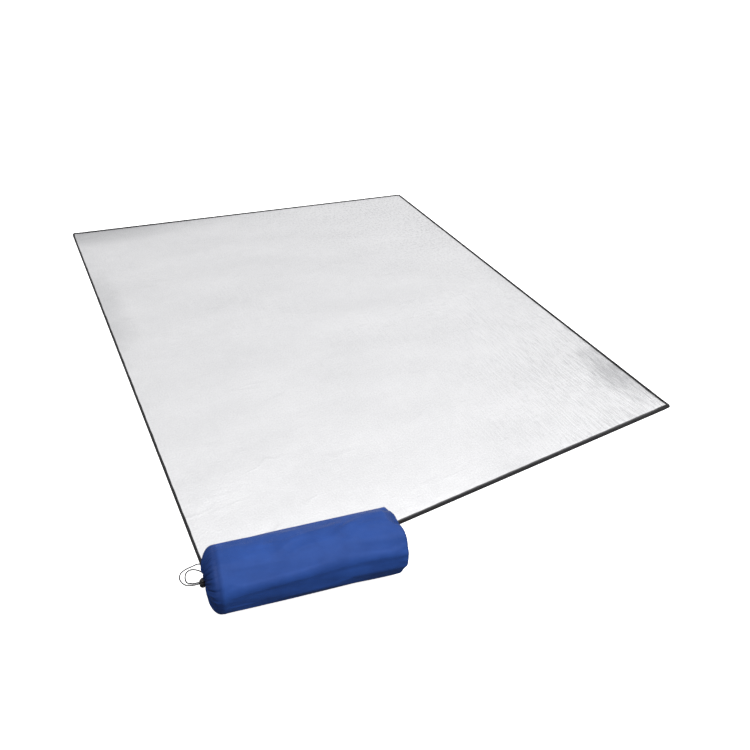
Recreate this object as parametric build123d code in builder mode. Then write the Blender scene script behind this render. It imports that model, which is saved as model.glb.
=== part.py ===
from build123d import *

import math
import os

# A foil-faced foam sleeping pad, laid out flat, with its packed drawstring bag lying over one corner.
#
# Millimetres, +Z up. The origin is on the floor under the pad's centre. +X runs along the front edge
# and +Y from the front edge to the back edge. The foam, its foil face and its edge binding are cut
# across into panels, because the pad rolls up from its back edge and each panel turns on the one in
# front of it.

os.makedirs("parts", exist_ok=True)

# ---- driving dimensions: the pad --------------------------------------------------------------
PAD_WIDTH = 1800.0
PAD_LENGTH = 2000.0
PAD_CORNER_RADIUS = 10.0
FOAM_THICKNESS = 2.5
FOIL_THICKNESS = 0.2

BINDING_WIDTH = 8.0  # how far each flap reaches in from the pad's edge
BINDING_TOP = 4.4  # the folded tape stands proud of the foil
BINDING_WALL = 1.0  # outside the foam's edge
LOWER_FLAP = 0.7  # pressed into the foam, so the whole pad rests on one level

# ---- driving dimensions: how the pad rolls ----------------------------------------------------
PANEL_COUNT = 15
FRONT_PANEL = 250.0  # stays on the floor
TAIL_SHARE = 0.35  # the last rolled panel's length as a share of the first one's

# ---- driving dimensions: the bag --------------------------------------------------------------
BAG_RADIUS = 82.0
BAG_LENGTH = 486.0
BAG_CLOTH = 0.8
BAG_MOUTH_CENTRE = Vector(-911.8, -989.1, 88.0)
BAG_HEADING = -11.2  # degrees from +X, seen from above
BAG_TILT = 0.7  # degrees; the mouth end lies on the pad's corner and the other end on the floor
MOUTH_ROUNDING = 34.0
BASE_ROUNDING = 14.0

HEM_RING_RADIUS = 9.0
HEM_OUTSIDE = 4.0
HEM_INSIDE = 2.1
HEM_SET_IN = 1.0
HEM_GAP = 0.35

# ---- driving dimensions: the pad packed inside the bag ----------------------------------------
PACKED_WIDTH = PAD_WIDTH / 4  # folded in four before it is rolled
PACKED_FOAM = 8.8  # four thicknesses of foam, a little squeezed
PACKED_FOIL = 0.4
PACKED_GAP = 0.3
PACKED_HALF_TURNS = 14
PACKED_START = 27.0  # from the bag's mouth plane
PACKED_CORE = 5.0

# ---- driving dimensions: drawcord and cord lock -----------------------------------------------
CORD_DIAMETER = 3.0
STRAND_OFFSET = 1.95  # of each strand from the middle of the mouth
STRAND_START = 3.0  # inside the mouth
STRAND_STRAIGHT = 34.0  # outside it, so that the lock can slide

LOCK_RADIUS = 8.0
LOCK_HEIGHT = 18.0
LOCK_WALL = 2.2
LOCK_FLOOR = 2.0
LOCK_DISTANCE = 11.6  # of its axis outside the mouth plane
LOCK_CHAMFER = 1.0
LOCK_DROP = 2.5  # of its middle below the strands
SLOT_WIDTH = 8.2
SLOT_HEIGHT = 3.7
PLUNGER_CLEARANCE = 0.3
GRIP_GAP = 0.05  # between the strands and the edge of the plunger's window that holds them
BUTTON_HEIGHT = 6.0  # above the lock's body
BUTTON_ROUNDING = 1.2
BUTTON_TRAVEL = 3.5
SPRING_WIRE = 0.6
SPRING_TURNS = 2.5
SPRING_PRESSED = 2.4  # its length with the button pressed
SPRING_SEAT_GAP = 0.05  # between the wire and each of its seats
SPRING_SIDE_GAP = 0.6  # between the wire and the plunger's outside


# ---- places worked out from them --------------------------------------------------------------
def panel_edges():
    """The Y of every cut across the pad, from the front edge to the back edge."""
    rolled = PANEL_COUNT - 1
    shares = [1 - (1 - TAIL_SHARE) * i / (rolled - 1) for i in range(rolled)]
    scale = (PAD_LENGTH - FRONT_PANEL) / sum(shares)
    edges = [-PAD_LENGTH / 2, -PAD_LENGTH / 2 + FRONT_PANEL]
    for share in shares:
        edges.append(edges[-1] + share * scale)
    return edges


heading = math.radians(BAG_HEADING)
tilt = math.radians(BAG_TILT)
bag_axis = Vector(
    math.cos(heading) * math.cos(tilt), math.sin(heading) * math.cos(tilt), -math.sin(tilt)
)
bag_side = Vector(-math.sin(heading), math.cos(heading), 0)  # level, towards the pad's back edge
bag_out = Vector(-math.cos(heading), -math.sin(heading), 0)  # level, out of the mouth

# In this plane x is the distance from the mouth along the bag's axis, and y is the radius.
bag_section = Plane(origin=BAG_MOUTH_CENTRE, x_dir=bag_axis, z_dir=-bag_side)
bag_centreline = Axis(BAG_MOUTH_CENTRE, bag_axis)


def near_mouth(out, side, height):
    """A point from the mouth: out of it, towards the back edge, and height above the floor."""
    point = BAG_MOUTH_CENTRE + bag_out * out + bag_side * side
    return Vector(point.X, point.Y, height)


def save(piece, name):
    piece.part.label = name
    export_step(piece.part, f"parts/{name}.step")


# ---- the pad ----------------------------------------------------------------------------------
def rounded_slab(inset, bottom, top):
    """A slab of the pad's outline, drawn in by inset, between two heights."""
    with BuildPart() as slab:
        with BuildSketch(Plane.XY.offset(bottom)):
            RectangleRounded(
                PAD_WIDTH - 2 * inset, PAD_LENGTH - 2 * inset, PAD_CORNER_RADIUS - inset
            )
        extrude(amount=top - bottom)
    return slab.part


def whole_foam():
    """The foam sheet, rebated underneath for the binding's lower flap."""
    with BuildPart() as foam:
        add(rounded_slab(BINDING_WIDTH, 0, LOWER_FLAP))
        add(rounded_slab(BINDING_WALL, LOWER_FLAP, FOAM_THICKNESS))
    return foam.part


def whole_foil():
    return rounded_slab(BINDING_WALL, FOAM_THICKNESS, FOAM_THICKNESS + FOIL_THICKNESS)


def whole_binding():
    """The tape folded round the pad's edge: an upper flap, an outer wall and a lower flap."""
    with BuildPart() as binding:
        add(rounded_slab(0, 0, BINDING_TOP))
        add(rounded_slab(BINDING_WIDTH, 0, BINDING_TOP), mode=Mode.SUBTRACT)
        add(
            rounded_slab(BINDING_WALL, LOWER_FLAP, FOAM_THICKNESS + FOIL_THICKNESS),
            mode=Mode.SUBTRACT,
        )
    return binding.part


def cut_panel(layer, front, back):
    """The stretch of a layer between two cuts across the pad."""
    with BuildPart() as panel:
        add(layer)
        with Locations((0, (front + back) / 2, 0)):
            Box(2 * PAD_WIDTH, back - front, 4 * BINDING_TOP, mode=Mode.INTERSECT)
    return panel


def make_pad():
    layers = {"foam": whole_foam(), "foil": whole_foil(), "binding": whole_binding()}
    edges = panel_edges()
    for number in range(1, PANEL_COUNT + 1):
        for layer_name, layer in layers.items():
            panel = cut_panel(layer, edges[number - 1], edges[number])
            save(panel, f"{layer_name}_panel_{number:02d}")
    print("cuts across the pad:", [round(edge, 2) for edge in edges])


# ---- the bag ----------------------------------------------------------------------------------
def bag_wall_line(inset):
    """The bag's outline from the mouth to the base, drawn in by inset, as (x, radius) points."""
    mouth_radius = HEM_RING_RADIUS + HEM_OUTSIDE + HEM_GAP
    radius = BAG_RADIUS - inset
    flat = BAG_RADIUS - MOUTH_ROUNDING
    base = BAG_RADIUS - BASE_ROUNDING
    bend = math.sqrt(0.5)
    mouth_arc = MOUTH_ROUNDING - inset
    base_arc = BASE_ROUNDING - inset
    return {
        "lip": (inset, mouth_radius),
        "flat": (inset, flat),
        "mouth_bend": (MOUTH_ROUNDING - bend * mouth_arc, flat + bend * mouth_arc),
        "side_start": (MOUTH_ROUNDING, radius),
        "side_end": (BAG_LENGTH - BASE_ROUNDING, radius),
        "base_bend": (BAG_LENGTH - BASE_ROUNDING + bend * base_arc, base + bend * base_arc),
        "base": (BAG_LENGTH - inset, base),
    }


def make_bag_tube():
    """The side of the bag: one cloth tube, drawn in at the mouth and turned in at the base."""
    outer = bag_wall_line(0)
    inner = bag_wall_line(BAG_CLOTH)
    with BuildPart() as tube:
        with BuildSketch(bag_section):
            with BuildLine():
                for wall in (outer, inner):
                    Line(wall["lip"], wall["flat"])
                    ThreePointArc(wall["flat"], wall["mouth_bend"], wall["side_start"])
                    Line(wall["side_start"], wall["side_end"])
                    ThreePointArc(wall["side_end"], wall["base_bend"], wall["base"])
                Line(outer["lip"], inner["lip"])
                Line(outer["base"], inner["base"])
            make_face()
        revolve(axis=bag_centreline)
    save(tube, "bag_tube")


def make_bag_base():
    """The round base panel that closes the tube's far end."""
    with BuildPart() as base:
        with BuildSketch(bag_section):
            with Locations((BAG_LENGTH - BAG_CLOTH / 2, (BAG_RADIUS - BASE_ROUNDING) / 2)):
                Rectangle(BAG_CLOTH, BAG_RADIUS - BASE_ROUNDING)
        revolve(axis=bag_centreline)
    save(base, "bag_base")


def make_mouth_hem():
    """The hem tunnel of the drawn-in mouth, a ring with the drawcord inside it."""
    with BuildPart() as hem:
        with BuildSketch(bag_section):
            with Locations((HEM_SET_IN, HEM_RING_RADIUS)):
                Circle(HEM_OUTSIDE)
                Circle(HEM_INSIDE, mode=Mode.SUBTRACT)
        revolve(axis=bag_centreline)
    save(hem, "bag_mouth_hem")


def make_cord_in_hem():
    with BuildPart() as ring:
        with BuildSketch(bag_section):
            with Locations((HEM_SET_IN, HEM_RING_RADIUS)):
                Circle(CORD_DIAMETER / 2)
        revolve(axis=bag_centreline)
    save(ring, "drawcord_in_hem")


# ---- the pad packed inside the bag ------------------------------------------------------------
def packed_layer(inner_offset, outer_offset, name):
    """One layer of the packed roll: a spiral band of half circles that grow by half the pitch."""
    pitch = PACKED_FOAM + PACKED_FOIL + PACKED_GAP
    roll_end = Plane(
        origin=BAG_MOUTH_CENTRE + bag_axis * PACKED_START, x_dir=bag_side, z_dir=bag_axis
    )
    with BuildPart() as roll:
        with BuildSketch(roll_end):
            with BuildLine():
                for offset in (inner_offset, outer_offset):
                    for turn in range(PACKED_HALF_TURNS):
                        centre = pitch / 4 * (-1 if turn % 2 == 0 else 1)
                        radius = PACKED_CORE + offset + turn * pitch / 2
                        CenterArc((centre, 0), radius, 180 * (turn % 2), 180)
                first = PACKED_CORE - pitch / 4
                last = PACKED_CORE + pitch / 4 + (PACKED_HALF_TURNS - 1) * pitch / 2
                for end in (first, last):
                    Line((end + inner_offset, 0), (end + outer_offset, 0))
            make_face()
        extrude(amount=PACKED_WIDTH)
    save(roll, name)


def make_packed_pad():
    packed_layer(0, PACKED_FOAM, "packed_pad_foam")
    packed_layer(PACKED_FOAM, PACKED_FOAM + PACKED_FOIL, "packed_pad_foil")


# ---- the drawcord's free strands --------------------------------------------------------------
OUTER_ROUTE = [
    near_mouth(-STRAND_START, -STRAND_OFFSET, BAG_MOUTH_CENTRE.Z),
    near_mouth(STRAND_STRAIGHT, -STRAND_OFFSET, BAG_MOUTH_CENTRE.Z),
    Vector(-952, -973, 76),
    Vector(-957, -953, 47),
    Vector(-960, -928, 18),
    Vector(-962.5, -904, 2.6),
    Vector(-956.5, -889, 1.6),
    Vector(-942, -883, 1.6),
    Vector(-924, -883, 3),
    Vector(-906, -890, 14),
    Vector(-905, -918, 40),
    Vector(-910, -952, 68),
    near_mouth(2.4, 8.5, 93),
]
INNER_ROUTE = [
    near_mouth(-STRAND_START, STRAND_OFFSET, BAG_MOUTH_CENTRE.Z),
    near_mouth(STRAND_STRAIGHT, STRAND_OFFSET, BAG_MOUTH_CENTRE.Z),
    Vector(-947.5, -969, 74),
    Vector(-950.5, -950, 46),
    Vector(-951, -928, 18),
    Vector(-949, -906, 2.6),
    Vector(-942.5, -892, 1.6),
    Vector(-929, -890, 3.5),
    Vector(-916, -904, 18),
    Vector(-914, -930, 44),
    Vector(-915, -958, 68),
    near_mouth(2.4, 9, 84),
]


def corner_radii(route):
    """The largest arc at each corner that leaves both of its runs a straight middle."""
    radii = []
    for before, corner, after in zip(route, route[1:], route[2:]):
        run_in = corner - before
        run_out = after - corner
        turn = math.radians(run_in.get_angle(run_out))
        radii.append(0.45 * min(run_in.length, run_out.length) / math.tan(turn / 2))
    return radii


def make_strand(route, name):
    """A round cord along straight runs joined by tangent arcs."""
    radii = corner_radii(route)
    with BuildPart() as strand:
        with BuildLine() as path:
            FilletPolyline(*route, radius=radii)
        with BuildSketch(Plane(origin=route[0], z_dir=route[1] - route[0])) as section:
            Circle(CORD_DIAMETER / 2)
        sweep(path=path.wire())
    length = path.wire().length
    expected = section.sketch.area * length
    print(name, "length", round(length, 1), "radii", [round(radius, 1) for radius in radii])
    print(name, "volume", round(strand.part.volume, 1), "section times length", round(expected, 1))
    save(strand, name)


# ---- the cord lock ----------------------------------------------------------------------------
# Its axis stands upright. The strands pass through it level, side by side.
lock_centre = near_mouth(LOCK_DISTANCE, 0, BAG_MOUTH_CENTRE.Z)
lock_bottom = lock_centre.Z - LOCK_DROP - LOCK_HEIGHT / 2
lock_top = lock_bottom + LOCK_HEIGHT
lock_floor = lock_bottom + LOCK_FLOOR
lock_bore = LOCK_RADIUS - LOCK_WALL
plunger_radius = lock_bore - PLUNGER_CLEARANCE
plunger_bottom = lock_floor + SPRING_PRESSED + BUTTON_TRAVEL
slot_plane = Plane(origin=lock_centre, x_dir=-bag_side, z_dir=bag_out)


def level_plane(height):
    """Level, with its origin on the lock's axis."""
    return Plane(origin=(lock_centre.X, lock_centre.Y, height), x_dir=bag_side, z_dir=(0, 0, 1))


def make_lock_body():
    """The barrel: open at the top for the plunger, and slotted through for the two strands."""
    with BuildPart() as body:
        with BuildSketch(level_plane(lock_bottom)):
            Circle(LOCK_RADIUS)
        extrude(amount=LOCK_HEIGHT)
        chamfer(body.edges().filter_by(GeomType.CIRCLE), LOCK_CHAMFER)
        with BuildSketch(level_plane(lock_floor)):
            Circle(lock_bore)
        extrude(amount=LOCK_HEIGHT, mode=Mode.SUBTRACT)
        with BuildSketch(slot_plane):
            Rectangle(SLOT_WIDTH, SLOT_HEIGHT)
        extrude(amount=2 * LOCK_RADIUS, both=True, mode=Mode.SUBTRACT)
    save(body, "cord_lock_body")


def make_lock_plunger():
    """The sprung plunger: a button on top, and a window whose lower edge holds the strands."""
    window_bottom = -CORD_DIAMETER / 2 - GRIP_GAP
    window_top = SLOT_HEIGHT / 2 + BUTTON_TRAVEL
    with BuildPart() as plunger:
        with BuildSketch(level_plane(plunger_bottom)):
            Circle(plunger_radius)
        extrude(amount=lock_top + BUTTON_HEIGHT - plunger_bottom)
        fillet(plunger.edges().sort_by(Axis.Z)[-1], BUTTON_ROUNDING)
        with BuildSketch(slot_plane):
            with Locations((0, (window_bottom + window_top) / 2)):
                Rectangle(SLOT_WIDTH, window_top - window_bottom)
        extrude(amount=2 * LOCK_RADIUS, both=True, mode=Mode.SUBTRACT)
    save(plunger, "cord_lock_plunger")


def make_lock_spring():
    """The coil spring between the barrel's floor and the plunger."""
    wire_radius = SPRING_WIRE / 2
    height = plunger_bottom - lock_floor - SPRING_WIRE - 2 * SPRING_SEAT_GAP
    coil_radius = plunger_radius - SPRING_SIDE_GAP - wire_radius
    start = level_plane(lock_floor + SPRING_SEAT_GAP + wire_radius)
    with BuildPart() as spring:
        with BuildLine(start) as path:
            Helix(pitch=height / SPRING_TURNS, height=height, radius=coil_radius)
        with BuildSketch(Plane(origin=path.line @ 0, z_dir=path.line % 0)):
            Circle(wire_radius)
        sweep(path=path.wire())
    save(spring, "cord_lock_spring")
    print("spring floor", round(lock_floor, 3), "plunger bottom", round(plunger_bottom, 3))


make_pad()
make_bag_tube()
make_bag_base()
make_mouth_hem()
make_cord_in_hem()
make_packed_pad()
make_strand(OUTER_ROUTE, "drawcord_outer_loop")
make_strand(INNER_ROUTE, "drawcord_inner_loop")
make_lock_body()
make_lock_plunger()
make_lock_spring()
print("bag axis", bag_axis, "mouth", BAG_MOUTH_CENTRE, "out", bag_out)
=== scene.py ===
import math

import bpy
import numpy as np
from mathutils import Matrix, Vector


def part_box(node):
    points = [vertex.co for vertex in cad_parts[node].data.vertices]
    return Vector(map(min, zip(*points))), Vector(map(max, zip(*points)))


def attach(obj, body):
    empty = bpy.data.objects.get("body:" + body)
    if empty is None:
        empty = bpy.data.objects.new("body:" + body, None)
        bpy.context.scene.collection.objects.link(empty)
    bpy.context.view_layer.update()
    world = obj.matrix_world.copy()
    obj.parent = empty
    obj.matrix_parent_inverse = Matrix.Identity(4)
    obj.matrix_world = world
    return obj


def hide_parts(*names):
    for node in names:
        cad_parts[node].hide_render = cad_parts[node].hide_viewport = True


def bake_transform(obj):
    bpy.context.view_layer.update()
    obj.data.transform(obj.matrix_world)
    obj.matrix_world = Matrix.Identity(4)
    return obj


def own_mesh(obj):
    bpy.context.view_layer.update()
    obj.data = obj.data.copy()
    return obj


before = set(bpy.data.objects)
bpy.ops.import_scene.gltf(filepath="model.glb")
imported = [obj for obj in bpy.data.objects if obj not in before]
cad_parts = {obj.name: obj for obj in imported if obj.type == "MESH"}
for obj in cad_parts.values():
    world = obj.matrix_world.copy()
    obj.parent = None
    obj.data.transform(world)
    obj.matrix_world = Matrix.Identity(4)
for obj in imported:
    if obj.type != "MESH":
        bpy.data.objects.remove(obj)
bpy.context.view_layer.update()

# ---- the pad ----
PANELS = 15
FOIL_TOP = 0.0027
FOAM_TOP = 0.0025
TAPE_REACH = 0.008  # how far the binding's flaps reach in
TAPE_TOP = 0.0044
LOWER_FLAP = 0.0007
PAD_CORNER = 0.010
CORNER_ARC = PAD_CORNER * math.pi / 2
UNDER_TAPE = 0.002  # the foam and the foil end this far inside the pad's edge
GLUE_GAP = 0.00005  # between the foam and the foil
STEP_WIDTH = 0.0001  # of the foam's step for the tape's lower flap
WAVE_HEIGHT = 0.0022
GRID = 0.012
EDGE_GRID = 0.006
EDGE_BAND = 0.10
STEP_CLEAR = 0.004  # from the step to the first line of the even grid

# ---- the bag ----
MOUTH = Vector((-0.9118, -0.9891, 0.088))
HEADING = math.radians(-11.2)
TILT = math.radians(0.7)
BAG_LENGTH = 0.486
BAG_RADIUS = 0.082
ROLL_RADIUS = 0.0784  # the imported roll's, which the cloth has to clear
CLOTH = 0.0006
CORD = 0.003

bag_axis = Vector(
    (math.cos(HEADING) * math.cos(TILT), math.sin(HEADING) * math.cos(TILT), -math.sin(TILT))
)
bag_side = Vector((-math.sin(HEADING), math.cos(HEADING), 0))
bag_up = bag_axis.cross(bag_side)
bag_out = Vector((-math.cos(HEADING), -math.sin(HEADING), 0))

scene = bpy.context.scene
half_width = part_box("binding_panel_01")[1].x
half_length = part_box("binding_panel_15")[1].y
cuts = [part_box(f"foam_panel_{n:02d}")[0].y for n in range(2, PANELS + 1)]
cuts = [-half_length] + cuts + [half_length]


# ---- helpers ----
def ease(value, start, end):
    """0 before start and 1 past end, with a smooth climb between them."""
    t = np.clip((value - start) / (end - start), 0, 1)
    return t * t * (3 - 2 * t)


def bump(value, centre, spread):
    """1 at the centre, dying away on both sides of it."""
    return np.exp(-(((value - centre) / spread) ** 2))


class Nodes:
    """Short ways to add nodes to a tree."""

    def __init__(self, tree):
        self.tree = tree

    def add(self, kind, inputs=None, **settings):
        node = self.tree.nodes.new(kind)
        for key, value in settings.items():
            setattr(node, key, value)
        for key, value in (inputs or {}).items():
            if isinstance(value, bpy.types.NodeSocket):
                self.tree.links.new(value, node.inputs[key])
            else:
                node.inputs[key].default_value = value
        return node

    def math(self, operation, a, b=0.0, clamp=False):
        node = self.add("ShaderNodeMath", {0: a, 1: b}, operation=operation, use_clamp=clamp)
        return node.outputs[0]

    def plus(self, a, b):
        return self.math("ADD", a, b)

    def minus(self, a, b):
        return self.math("SUBTRACT", a, b)

    def times(self, a, b):
        return self.math("MULTIPLY", a, b)

    def coordinates(self, source, scale=(1, 1, 1)):
        place = self.add("ShaderNodeTexCoord").outputs[source]
        return self.add("ShaderNodeMapping", {"Vector": place, "Scale": scale}).outputs["Vector"]

    def noise(self, place, scale, detail=3.0, roughness=0.5, distortion=0.0):
        names = ("Vector", "Scale", "Detail", "Roughness", "Distortion")
        values = (place, scale, detail, roughness, distortion)
        return self.add("ShaderNodeTexNoise", dict(zip(names, values))).outputs["Fac"]

    def threads(self, place, direction, scale, distortion, detail=2.0):
        """Bands, as of a cloth's threads."""
        inputs = {"Vector": place, "Scale": scale, "Distortion": distortion, "Detail": detail}
        return self.add("ShaderNodeTexWave", inputs, bands_direction=direction).outputs["Fac"]

    def remap(self, value, low, high, new_low, new_high):
        names = ("Value", "From Min", "From Max", "To Min", "To Max")
        values = (value, low, high, new_low, new_high)
        return self.add("ShaderNodeMapRange", dict(zip(names, values))).outputs["Result"]

    def bump(self, height, distance, strength=1.0, before=None):
        inputs = {"Height": height, "Distance": distance, "Strength": strength}
        if before is not None:
            inputs["Normal"] = before
        return self.add("ShaderNodeBump", inputs).outputs["Normal"]


class Shader(Nodes):
    """A material with one Principled BSDF."""

    def __init__(self, name, **sockets):
        self.material = bpy.data.materials.new(name)
        self.material.use_nodes = True
        super().__init__(self.material.node_tree)
        self.bsdf = self.tree.nodes["Principled BSDF"]
        for key, value in sockets.items():
            self.bsdf.inputs[key.replace("_", " ")].default_value = value

    def feed(self, socket, value):
        self.tree.links.new(value, self.bsdf.inputs[socket])

    def paint(self, factor, a, b):
        """A base colour between two."""
        node = self.add("ShaderNodeMix", {0: factor, 6: (*a, 1), 7: (*b, 1)}, data_type="RGBA")
        self.feed("Base Color", node.outputs[2])


def make_object(name, points, faces, flat=None, smooth=True):
    """A mesh object. flat is one (u, v) in metres for each point."""
    mesh = bpy.data.meshes.new(name)
    mesh.from_pydata([tuple(p) for p in points], [], faces)
    if flat is not None:
        layer = mesh.uv_layers.new(name="UVMap")
        corner = np.zeros(len(mesh.loops), np.int32)
        mesh.loops.foreach_get("vertex_index", corner)
        layer.data.foreach_set("uv", np.asarray(flat, np.float32)[corner].ravel())
    mesh.polygons.foreach_set("use_smooth", [smooth] * len(mesh.polygons))
    mesh.update()
    thing = bpy.data.objects.new(name, mesh)
    scene.collection.objects.link(thing)
    return thing


def ring_faces(rings, around, base=0, flip=False, closed=False, caps=False):
    """Faces between rings of points: an open tube, a capped one, or one that closes on itself."""
    faces = []
    for ring in range(rings if closed else rings - 1):
        start, end = base + ring * around, base + (ring + 1) % rings * around
        for place in range(around):
            after = (place + 1) % around
            if flip:
                faces.append((start + place, start + after, end + after, end + place))
            else:
                faces.append((start + place, end + place, end + after, start + after))
    if caps:
        first = tuple(range(base, base + around))
        last = tuple(range(base + rings * around - 1, base + (rings - 1) * around - 1, -1))
        faces += [first[::-1], last[::-1]] if flip else [first, last]
    return faces


def sharpen(thing, degrees):
    """Edges that turn by more than this stay crisp."""
    mesh = thing.data
    limit = math.cos(math.radians(degrees))
    normals = np.zeros(len(mesh.polygons) * 3, np.float32)
    mesh.polygons.foreach_get("normal", normals)
    normals = normals.reshape(-1, 3)
    sides = {}
    for face in mesh.polygons:
        for key in face.edge_keys:
            sides.setdefault(key, []).append(face.index)
    crisp = []
    for edge in mesh.edges:
        beside = sides.get(edge.key, [])
        crisp.append(len(beside) == 2 and float(normals[beside[0]] @ normals[beside[1]]) < limit)
    mesh.attributes.new("sharp_edge", "BOOLEAN", "EDGE").data.foreach_set("value", crisp)


def finish_piece(thing, slot_name, *materials):
    for material in materials:
        thing.data.materials.append(material)


# ---- materials ----
DULL_FOIL, BRIGHT_FOIL = (0.62, 0.622, 0.637), (0.985, 0.985, 1.0)
FOIL_TONE = 0.87  # how far between the two the smooth film is
# the tape's paler colour is a painted sheen
BLACK_TAPE, SHEEN_PAINTED_TAPE = (0.009, 0.009, 0.010), (0.19, 0.19, 0.195)
DARK_NYLON, BRIGHT_NYLON = (0.0129, 0.040, 0.173), (0.027, 0.083, 0.335)

# Along the bag's cloth from its mouth: the end of the gathers' painted shade, and the start of the
# painted shade at the turn at the base.
GATHERED_TO, TURNED_FROM = 0.089, 0.534
BASE_PANEL_AT = 0.30  # the base panel's flat coordinates start here, clear of both


def make_foil():
    """Silver film: fine creases along and across the pad, and darker patches near its edges that
    are painted shade.
    """
    foil = Shader("foil_face", Metallic=1.0)
    flat = foil.coordinates("UV")
    parts = foil.add("ShaderNodeSeparateXYZ", {"Vector": flat})
    x, y = parts.outputs["X"], parts.outputs["Y"]

    def near(across, along, half_across, half_along):
        """1 at a place on the pad, fading to 0 over an ellipse round it."""
        u = foil.math("DIVIDE", foil.minus(x, across), half_across)
        v = foil.math("DIVIDE", foil.minus(y, along), half_along)
        reach = foil.plus(foil.times(u, u), foil.times(v, v))
        return foil.math("POWER", foil.remap(reach, 0.0, 1.0, 1.0, 0.0), 1.6)

    def drawn_out(across, along, *detail):
        """A noise stretched along the pad or across it."""
        return foil.noise(foil.coordinates("UV", (across, along, 1.0)), 1.0, *detail)

    # creases, strong in some patches only
    along = drawn_out(125.0, 17.0, 3.0, 0.6, 0.5)
    across = drawn_out(19.0, 115.0, 3.0, 0.6, 0.5)
    corner = near(half_width, -0.75, 0.95, 0.75)
    patches_along = foil.remap(foil.noise(flat, 2.6, 2.0), 0.48, 0.66, 0.12, 0.55)
    patches_along = foil.plus(patches_along, foil.times(corner, 1.5))
    patches_across = foil.remap(foil.noise(flat, 3.4, 2.0), 0.48, 0.68, 0.10, 0.55)
    creases = foil.plus(
        foil.times(foil.minus(along, 0.5), patches_along),
        foil.times(foil.minus(across, 0.5), patches_across),
    )
    # the film's texture catches more light towards the right and the back
    catch = foil.remap(foil.plus(x, foil.times(y, 0.3)), -0.8, 0.9, 0.5, 1.5)
    creases = foil.times(creases, catch)
    pebble = foil.noise(flat, 190.0, 2.0, 0.5)
    coarse = foil.minus(foil.noise(flat, 85.0, 2.0, 0.55), 0.5)
    to_corner = foil.remap(foil.plus(x, y), 0.45, 1.5, 0.0, 1.7)
    coarse = foil.times(coarse, to_corner)
    grain = foil.noise(flat, 520.0, 2.0, 0.6)

    # a few sharp wrinkles, where a slow noise passes one level
    level = drawn_out(3.2, 9.5, 2.0, 0.45, 0.5)
    off = foil.math("ABSOLUTE", foil.minus(level, 0.5))
    sparse = foil.remap(drawn_out(5.0, 9.0, 2.0), 0.55, 0.68, 0.0, 1.0)
    wrinkles = foil.times(foil.remap(off, 0.0, 0.030, 1.0, 0.0), sparse)

    normal = foil.bump(creases, 0.0019, 0.9)
    normal = foil.bump(wrinkles, 0.0004, 0.8, normal)
    normal = foil.bump(pebble, 0.0009, 0.8, normal)
    normal = foil.bump(grain, 0.0003, 0.6, normal)
    foil.feed("Normal", normal)

    # tone: broad clouds, the creases' own shade, and painted shade on the film towards the edges
    # and in a few patches
    inset = foil.math(
        "MINIMUM",
        foil.minus(half_width, foil.math("ABSOLUTE", x)),
        foil.minus(half_length, foil.math("ABSOLUTE", y)),
    )
    # painted shade: the film is darker in patches near the edges, at the back left, along the left
    # and at the front right
    painted_dark_film = foil.remap(foil.noise(flat, 1.9, 2.0), 0.44, 0.60, 0.0, 0.15)
    painted_dark_film = foil.times(painted_dark_film, foil.remap(inset, 0.0, 0.11, 1.0, 0.0))
    back_left = near(-0.95, half_length + 0.02, 0.95, 0.19)
    left = foil.times(near(-half_width, 0.32, 0.11, 0.42), 0.42)
    front_right = foil.times(near(0.85, -0.76, 0.15, 0.23), 0.85)
    for patch in (back_left, left, front_right):
        painted_dark_film = foil.math("MAXIMUM", painted_dark_film, patch)
    clouds = foil.noise(foil.coordinates("UV", (1.3, 3.0, 1.0)), 2.0, 3.0, 0.5)
    clouds = foil.remap(clouds, 0.3, 0.7, -0.09, 0.09)
    shade = foil.times(creases, 0.95)
    speckle = foil.minus(pebble, 0.5)
    shade = foil.plus(shade, foil.times(foil.plus(speckle, coarse), catch))
    shade = foil.plus(shade, clouds)
    # painted shade along the sharp wrinkles
    shade = foil.minus(shade, foil.times(wrinkles, 0.09))
    shade = foil.minus(shade, foil.times(painted_dark_film, 0.85))
    tone = foil.remap(foil.plus(shade, FOIL_TONE), 0.0, 1.0, 0.0, 1.0)
    foil.paint(tone, DULL_FOIL, BRIGHT_FOIL)
    foil.feed("Roughness", foil.remap(foil.noise(flat, 30.0, 3.0), 0.3, 0.7, 0.37, 0.43))
    return foil.material


def make_foam(source):
    """Pale closed-cell foam: fine cells, a shallow embossed grid and some handling marks."""
    foam = Shader("foam", Roughness=0.82)
    place = foam.coordinates(source)
    cells = foam.add("ShaderNodeTexVoronoi", {"Vector": place, "Scale": 620.0})
    dents = foam.noise(place, 26.0, 3.0)
    normal = foam.bump(dents, 0.0006, 0.5)
    normal = foam.bump(cells.outputs["Distance"], 0.0004, 0.5, normal)
    foam.feed("Normal", normal)
    marks = foam.remap(foam.noise(place, 7.0, 5.0, 0.65), 0.35, 0.7, 0.0, 1.0)
    foam.paint(marks, (0.80, 0.81, 0.82), (0.70, 0.72, 0.735))
    return foam.material


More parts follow.
